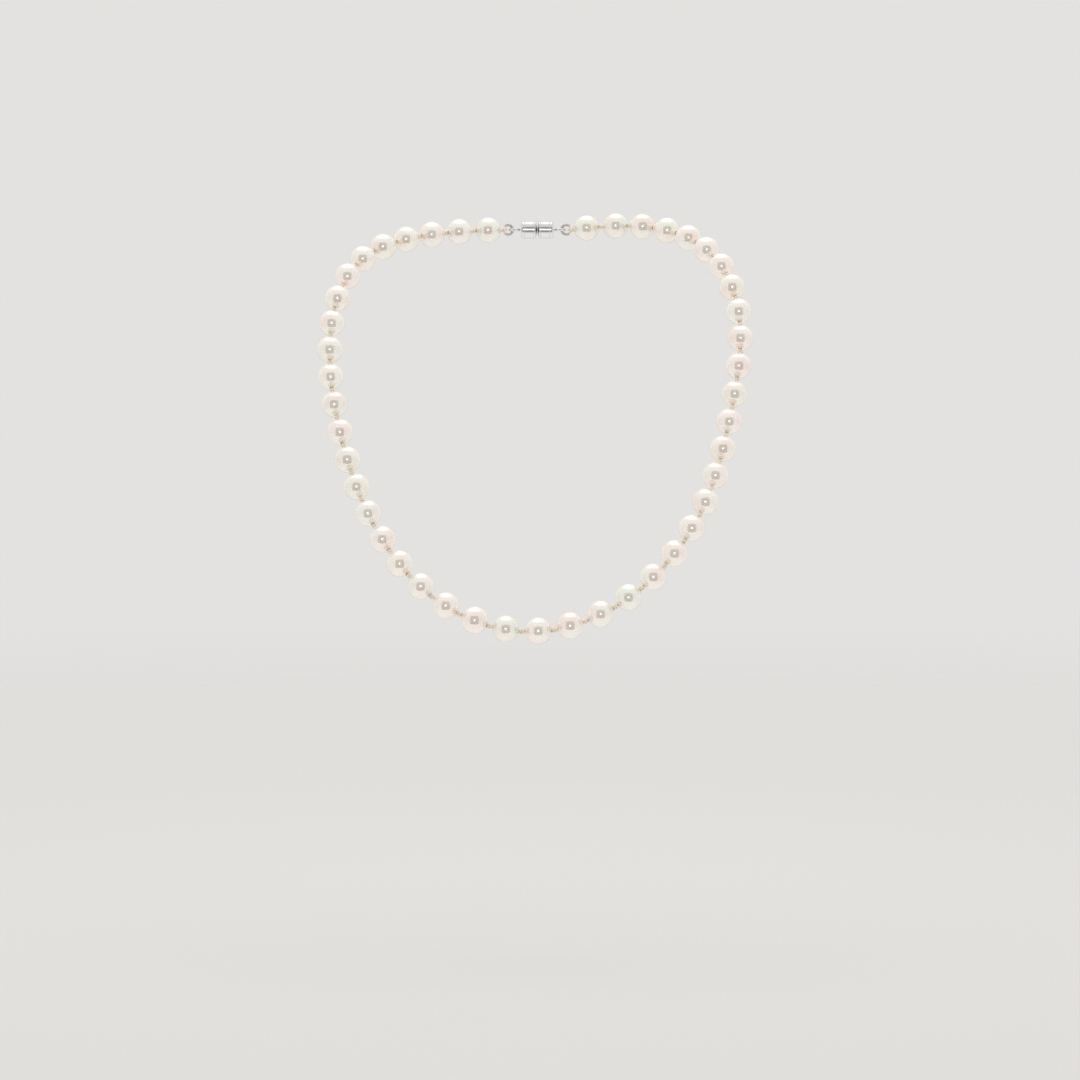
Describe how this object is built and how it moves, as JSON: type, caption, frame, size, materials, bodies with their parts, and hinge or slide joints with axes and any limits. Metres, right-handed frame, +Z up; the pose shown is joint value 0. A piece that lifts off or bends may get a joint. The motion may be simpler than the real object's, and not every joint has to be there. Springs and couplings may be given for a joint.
{
  "type": "pearl necklace",
  "caption": "Single strand of round white pearls, knotted on silk, worn closed at the nape by a small magnetic clasp.",
  "frame": {"origin": "on the axis of the wearer's neck, level with the clasp at the nape", "axes": "+Z up along the neck, -Y towards the front of the neck, +X to the right seen from the front"},
  "size_m": [0.1226, 0.0965, 0.1173],
  "materials": {
    "pearl": "round cultured pearl, high lustre, white with a faint rose overtone",
    "silk": "twisted cream silk bead cord",
    "gimp_wire": "fine coiled silver-plated wire",
    "clasp_metal": "polished silver, rhodium plated",
    "magnet": "nickel-plated neodymium disc"
  },
  "bodies": {
    "pearl_23": {"pearl_23": "pearl", "silk_thread": "silk"},
    "pearl_22": {"pearl_22": "pearl"},
    "pearl_21": {"pearl_21": "pearl"},
    "pearl_20": {"pearl_20": "pearl"},
    "pearl_19": {"pearl_19": "pearl"},
    "pearl_18": {"pearl_18": "pearl"},
    "pearl_17": {"pearl_17": "pearl"},
    "pearl_16": {"pearl_16": "pearl"},
    "pearl_15": {"pearl_15": "pearl"},
    "pearl_14": {"pearl_14": "pearl"},
    "pearl_13": {"pearl_13": "pearl"},
    "pearl_12": {"pearl_12": "pearl"},
    "pearl_11": {"pearl_11": "pearl"},
    "pearl_10": {"pearl_10": "pearl"},
    "pearl_09": {"pearl_09": "pearl"},
    "pearl_08": {"pearl_08": "pearl"},
    "pearl_07": {"pearl_07": "pearl"},
    "pearl_06": {"pearl_06": "pearl"},
    "pearl_05": {"pearl_05": "pearl"},
    "pearl_04": {"pearl_04": "pearl"},
    "pearl_03": {"pearl_03": "pearl"},
    "pearl_02": {"pearl_02": "pearl"},
    "pearl_01": {"pearl_01": "pearl"},
    "pearl_24": {"pearl_24": "pearl"},
    "pearl_25": {"pearl_25": "pearl"},
    "pearl_26": {"pearl_26": "pearl"},
    "pearl_27": {"pearl_27": "pearl"},
    "pearl_28": {"pearl_28": "pearl"},
    "pearl_29": {"pearl_29": "pearl"},
    "pearl_30": {"pearl_30": "pearl"},
    "pearl_31": {"pearl_31": "pearl"},
    "pearl_32": {"pearl_32": "pearl"},
    "pearl_33": {"pearl_33": "pearl"},
    "pearl_34": {"pearl_34": "pearl"},
    "pearl_35": {"pearl_35": "pearl"},
    "pearl_36": {"pearl_36": "pearl"},
    "pearl_37": {"pearl_37": "pearl"},
    "pearl_38": {"pearl_38": "pearl"},
    "pearl_39": {"pearl_39": "pearl"},
    "pearl_40": {"pearl_40": "pearl"},
    "pearl_41": {"pearl_41": "pearl"},
    "pearl_42": {"pearl_42": "pearl"},
    "pearl_43": {"pearl_43": "pearl"},
    "pearl_44": {"pearl_44": "pearl"},
    "pearl_45": {"pearl_45": "pearl"},
    "left_gimp": {"left_gimp": "gimp_wire"},
    "left_clasp": {"left_clasp_barrel": "clasp_metal", "left_clasp_magnet": "magnet", "left_clasp_cap": "clasp_metal", "left_clasp_eyelet": "clasp_metal"},
    "right_gimp": {"right_gimp": "gimp_wire"},
    "right_clasp": {"right_clasp_barrel": "clasp_metal", "right_clasp_magnet": "magnet", "right_clasp_cap": "clasp_metal", "right_clasp_eyelet": "clasp_metal"}
  },
  "joints": [
    {"name": "clasp_left_eyelet_swing", "type": "hinge", "parent": "left_gimp", "child": "left_clasp", "pos_m": [-0.00703, 0.035, 0], "axis": [0, 0, 1], "range_deg": [0, 45]},
    {"name": "clasp_right_eyelet_swing", "type": "hinge", "parent": "right_gimp", "child": "right_clasp", "pos_m": [0.00703, 0.035, 0], "axis": [0, 0, -1], "range_deg": [0, 45]},
    {"name": "clasp_left_gimp_lift", "type": "hinge", "parent": "pearl_01", "child": "left_gimp", "pos_m": [-0.00998, 0.035, 0], "axis": [0, -1, 0], "range_deg": [0, 8]},
    {"name": "clasp_right_gimp_lift", "type": "hinge", "parent": "pearl_45", "child": "right_gimp", "pos_m": [0.00998, 0.035, 0], "axis": [0, 1, 0], "range_deg": [0, 8]},
    {"name": "knot_22_23_lift", "type": "hinge", "parent": "pearl_23", "child": "pearl_22", "pos_m": [-0.00415, -0.05496, -0.10894], "axis": [0.0603, 0.49, 0.8697], "range_deg": [0, 8], "deforming": ["silk_thread"]},
    {"name": "knot_23_24_lift", "type": "hinge", "parent": "pearl_23", "child": "pearl_24", "pos_m": [0.00475, -0.05501, -0.10845], "axis": [0.1451, -0.4903, -0.8594], "range_deg": [0, 8]},
    {"name": "knot_21_22_swing", "type": "hinge", "parent": "pearl_22", "child": "pearl_21", "pos_m": [-0.01293, -0.05461, -0.10745], "axis": [0.2555, -0.0869, 0.9629], "range_deg": [0, 16]},
    {"name": "knot_24_25_swing", "type": "hinge", "parent": "pearl_24", "child": "pearl_25", "pos_m": [0.01334, -0.05478, -0.10608], "axis": [0.3469, 0.0834, -0.9342], "range_deg": [0, 16]},
    {"name": "knot_20_21_lift", "type": "hinge", "parent": "pearl_21", "child": "pearl_20", "pos_m": [-0.02121, -0.05366, -0.10429], "axis": [0.4628, 0.3688, 0.8061], "range_deg": [0, 8]},
    {"name": "knot_25_26_lift", "type": "hinge", "parent": "pearl_25", "child": "pearl_26", "pos_m": [0.02134, -0.05412, -0.10221], "axis": [0.5024, -0.3846, -0.7744], "range_deg": [0, 8]},
    {"name": "knot_19_20_swing", "type": "hinge", "parent": "pearl_20", "child": "pearl_19", "pos_m": [-0.02863, -0.05181, -0.09972], "axis": [0.4072, -0.4902, 0.7706], "range_deg": [0, 16]},
    {"name": "knot_26_27_swing", "type": "hinge", "parent": "pearl_26", "child": "pearl_27", "pos_m": [0.02857, -0.05286, -0.09715], "axis": [0.4849, 0.4719, -0.7363], "range_deg": [0, 16]},
    {"name": "knot_18_19_lift", "type": "hinge", "parent": "pearl_19", "child": "pearl_18", "pos_m": [-0.03497, -0.04905, -0.09409], "axis": [0.7472, 0.1693, 0.6427], "range_deg": [0, 8]},
    {"name": "knot_27_28_lift", "type": "hinge", "parent": "pearl_27", "child": "pearl_28", "pos_m": [0.0349, -0.05088, -0.0912], "axis": [0.7531, -0.2168, -0.6212], "range_deg": [0, 8]},
    {"name": "knot_17_18_swing", "type": "hinge", "parent": "pearl_18", "child": "pearl_17", "pos_m": [-0.04029, -0.04566, -0.08779], "axis": [0.2704, -0.7418, 0.6137], "range_deg": [0, 16]},
    {"name": "knot_28_29_swing", "type": "hinge", "parent": "pearl_28", "child": "pearl_29", "pos_m": [0.04026, -0.04811, -0.08464], "axis": [0.3393, 0.7296, -0.5937], "range_deg": [0, 16]},
    {"name": "knot_16_17_lift", "type": "hinge", "parent": "pearl_17", "child": "pearl_16", "pos_m": [-0.04473, -0.04184, -0.08107], "axis": [0.8611, 0, 0.5084], "range_deg": [0, 8]},
    {"name": "knot_29_30_lift", "type": "hinge", "parent": "pearl_29", "child": "pearl_30", "pos_m": [0.04458, -0.04445, -0.07776], "axis": [0.8845, -0.0362, -0.4651], "range_deg": [0, 8]},
    {"name": "knot_15_16_swing", "type": "hinge", "parent": "pearl_16", "child": "pearl_15", "pos_m": [-0.04839, -0.03772, -0.07407], "axis": [0.2607, -0.772, 0.5797], "range_deg": [0, 16]},
    {"name": "knot_30_31_swing", "type": "hinge", "parent": "pearl_30", "child": "pearl_31", "pos_m": [0.04788, -0.04003, -0.07076], "axis": [0.3012, 0.7356, -0.6068], "range_deg": [0, 16]},
    {"name": "knot_14_15_lift", "type": "hinge", "parent": "pearl_15", "child": "pearl_14", "pos_m": [-0.05137, -0.03341, -0.06686], "axis": [0.9006, -0.1331, 0.4137], "range_deg": [0, 8]},
    {"name": "knot_31_32_lift", "type": "hinge", "parent": "pearl_31", "child": "pearl_32", "pos_m": [0.0504, -0.03522, -0.06369], "axis": [0.9264, 0.1017, -0.3624], "range_deg": [0, 8]},
    {"name": "knot_13_14_swing", "type": "hinge", "parent": "pearl_14", "child": "pearl_13", "pos_m": [-0.05379, -0.029, -0.05951], "axis": [0.2535, -0.7954, 0.5506], "range_deg": [0, 16]},
    {"name": "knot_32_33_swing", "type": "hinge", "parent": "pearl_32", "child": "pearl_33", "pos_m": [0.05241, -0.03037, -0.05649], "axis": [0.3029, 0.7617, -0.5728], "range_deg": [0, 16]},
    {"name": "knot_12_13_lift", "type": "hinge", "parent": "pearl_13", "child": "pearl_12", "pos_m": [-0.05577, -0.02455, -0.05204], "axis": [0.9057, -0.2373, 0.3514], "range_deg": [0, 8]},
    {"name": "knot_33_34_lift", "type": "hinge", "parent": "pearl_33", "child": "pearl_34", "pos_m": [0.05417, -0.02574, -0.04908], "axis": [0.9291, 0.1884, -0.3183], "range_deg": [0, 8]},
    {"name": "knot_11_12_swing", "type": "hinge", "parent": "pearl_12", "child": "pearl_11", "pos_m": [-0.05726, -0.02003, -0.04451], "axis": [0.2417, -0.81, 0.5342], "range_deg": [0, 16]},
    {"name": "knot_34_35_swing", "type": "hinge", "parent": "pearl_34", "child": "pearl_35", "pos_m": [0.05573, -0.02138, -0.04147], "axis": [0.3089, 0.8017, -0.5117], "range_deg": [0, 16]},
    {"name": "knot_10_11_lift", "type": "hinge", "parent": "pearl_11", "child": "pearl_10", "pos_m": [-0.05811, -0.01532, -0.03698], "axis": [0.8941, -0.3483, 0.2817], "range_deg": [0, 8]},
    {"name": "knot_35_36_lift", "type": "hinge", "parent": "pearl_35", "child": "pearl_36", "pos_m": [0.0568, -0.01699, -0.03379], "axis": [0.9217, 0.2928, -0.2543], "range_deg": [0, 8]},
    {"name": "knot_09_10_swing", "type": "hinge", "parent": "pearl_10", "child": "pearl_09", "pos_m": [-0.05819, -0.01035, -0.02959], "axis": [0.2246, -0.8014, 0.5543], "range_deg": [0, 16]},
    {"name": "knot_36_37_swing", "type": "hinge", "parent": "pearl_36", "child": "pearl_37", "pos_m": [0.05704, -0.01227, -0.02623], "axis": [0.2869, 0.7977, -0.5305], "range_deg": [0, 16]},
    {"name": "knot_08_09_lift", "type": "hinge", "parent": "pearl_09", "child": "pearl_08", "pos_m": [-0.05736, -0.00507, -0.02246], "axis": [0.8609, -0.4679, 0.1999], "range_deg": [0, 8]},
    {"name": "knot_37_38_lift", "type": "hinge", "parent": "pearl_37", "child": "pearl_38", "pos_m": [0.05611, -0.00698, -0.01912], "axis": [0.888, 0.4342, -0.1514], "range_deg": [0, 8]},
    {"name": "knot_07_08_swing", "type": "hinge", "parent": "pearl_08", "child": "pearl_07", "pos_m": [-0.05543, 0.00059, -0.01585], "axis": [0.2414, -0.7523, 0.613], "range_deg": [0, 16]},
    {"name": "knot_38_39_swing", "type": "hinge", "parent": "pearl_38", "child": "pearl_39", "pos_m": [0.05387, -0.0011, -0.01281], "axis": [0.3123, 0.7259, -0.6128], "range_deg": [0, 16]},
    {"name": "knot_06_07_lift", "type": "hinge", "parent": "pearl_07", "child": "pearl_06", "pos_m": [-0.0521, 0.00662, -0.01019], "axis": [0.7964, -0.5997, 0.0788], "range_deg": [0, 8]},
    {"name": "knot_39_40_lift", "type": "hinge", "parent": "pearl_39", "child": "pearl_40", "pos_m": [0.05045, 0.00522, -0.00754], "axis": [0.8338, 0.5494, -0.0538], "range_deg": [0, 8]},
    {"name": "knot_05_06_swing", "type": "hinge", "parent": "pearl_06", "child": "pearl_05", "pos_m": [-0.04719, 0.01282, -0.00609], "axis": [0.3645, -0.6829, 0.6331], "range_deg": [0, 16]},
    {"name": "knot_40_41_swing", "type": "hinge", "parent": "pearl_40", "child": "pearl_41", "pos_m": [0.04596, 0.01181, -0.00357], "axis": [0.4234, 0.6453, -0.6358], "range_deg": [0, 16]},
    {"name": "knot_04_05_lift", "type": "hinge", "parent": "pearl_05", "child": "pearl_04", "pos_m": [-0.04106, 0.01874, -0.00347], "axis": [0.6674, -0.74, -0.0837], "range_deg": [0, 8]},
    {"name": "knot_41_42_lift", "type": "hinge", "parent": "pearl_41", "child": "pearl_42", "pos_m": [0.04047, 0.01831, -0.0009], "axis": [0.7341, 0.6746, 0.0775], "range_deg": [0, 8]},
    {"name": "knot_03_04_swing", "type": "hinge", "parent": "pearl_04", "child": "pearl_03", "pos_m": [-0.03414, 0.02411, -0.00184], "axis": [0.4112, -0.7358, 0.538], "range_deg": [0, 16]},
    {"name": "knot_42_43_swing", "type": "hinge", "parent": "pearl_42", "child": "pearl_43", "pos_m": [0.03404, 0.02429, 0.00066], "axis": [0.478, 0.7013, -0.5288], "range_deg": [0, 16]},
    {"name": "knot_02_03_lift", "type": "hinge", "parent": "pearl_03", "child": "pearl_02", "pos_m": [-0.0266, 0.02876, -0.00082], "axis": [0.4793, -0.8598, -0.1762], "range_deg": [0, 8]},
    {"name": "knot_43_44_lift", "type": "hinge", "parent": "pearl_43", "child": "pearl_44", "pos_m": [0.02672, 0.02933, 0.00127], "axis": [0.4847, 0.8484, 0.2129], "range_deg": [0, 8]},
    {"name": "knot_01_02_swing", "type": "hinge", "parent": "pearl_02", "child": "pearl_01", "pos_m": [-0.01853, 0.03248, -0.00025], "axis": [0.2945, -0.8435, 0.4493], "range_deg": [0, 16]},
    {"name": "knot_44_45_swing", "type": "hinge", "parent": "pearl_44", "child": "pearl_45", "pos_m": [0.01861, 0.03302, 0.00102], "axis": [0.3208, 0.8546, -0.4083], "range_deg": [0, 16]}
  ]
}
